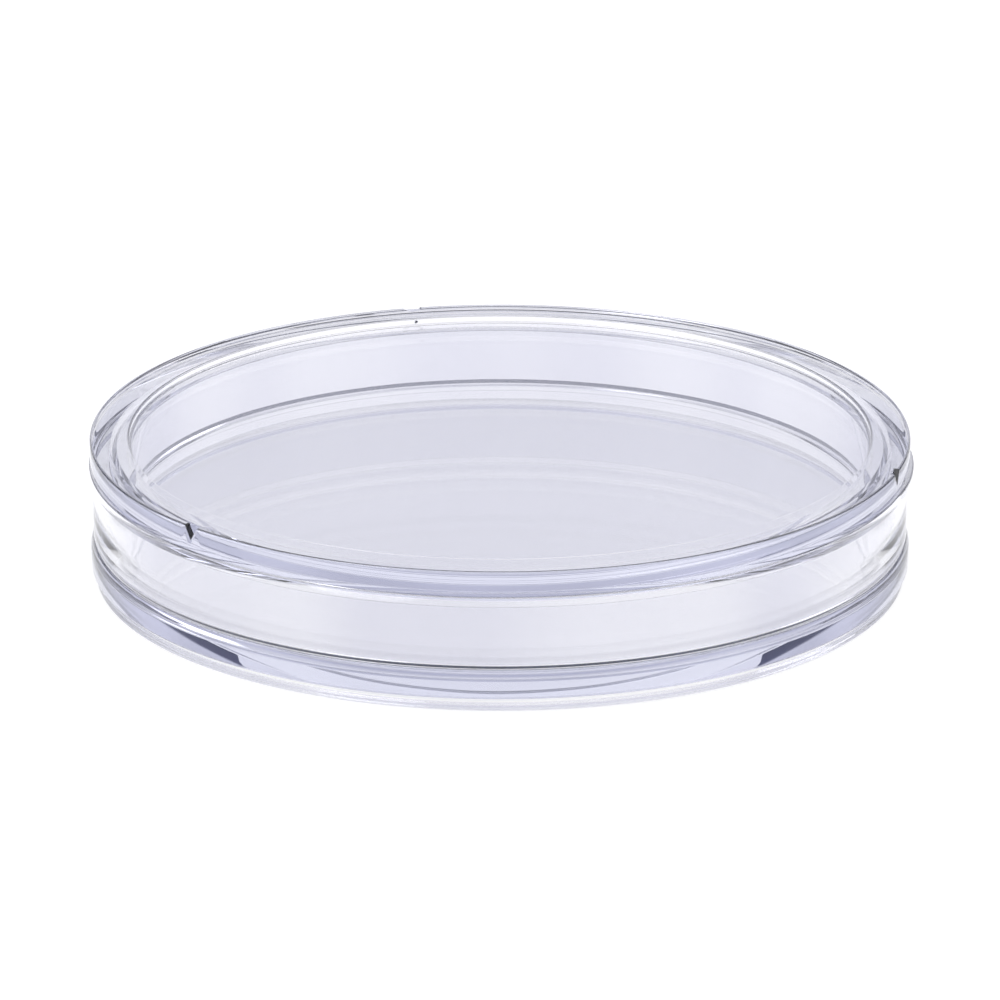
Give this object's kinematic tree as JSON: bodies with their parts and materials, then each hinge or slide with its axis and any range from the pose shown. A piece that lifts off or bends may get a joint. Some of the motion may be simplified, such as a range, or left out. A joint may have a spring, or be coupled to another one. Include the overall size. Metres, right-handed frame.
{
  "type": "coin capsule",
  "caption": "Round clear snap-together capsule that holds one large coin between two recessed panes; the lid lifts off.",
  "frame": {"origin": "centre of the underside, on the capsule's axis", "axes": "+Z along the capsule's axis from base to lid; the opening tab and one of the trimmed gates are near +X"},
  "size_m": [0.0458, 0.0456, 0.008],
  "materials": {
    "base_clear": "clear polished",
    "lid_clear": "clear polished"
  },
  "bodies": {
    "base": {"base": "base_clear"},
    "lid": {"lid": "lid_clear"}
  },
  "joints": [
    {"name": "lid_lift", "type": "slide", "parent": "base", "child": "lid", "axis": [0, 0, 1], "range_m": [0, 0.02]}
  ]
}
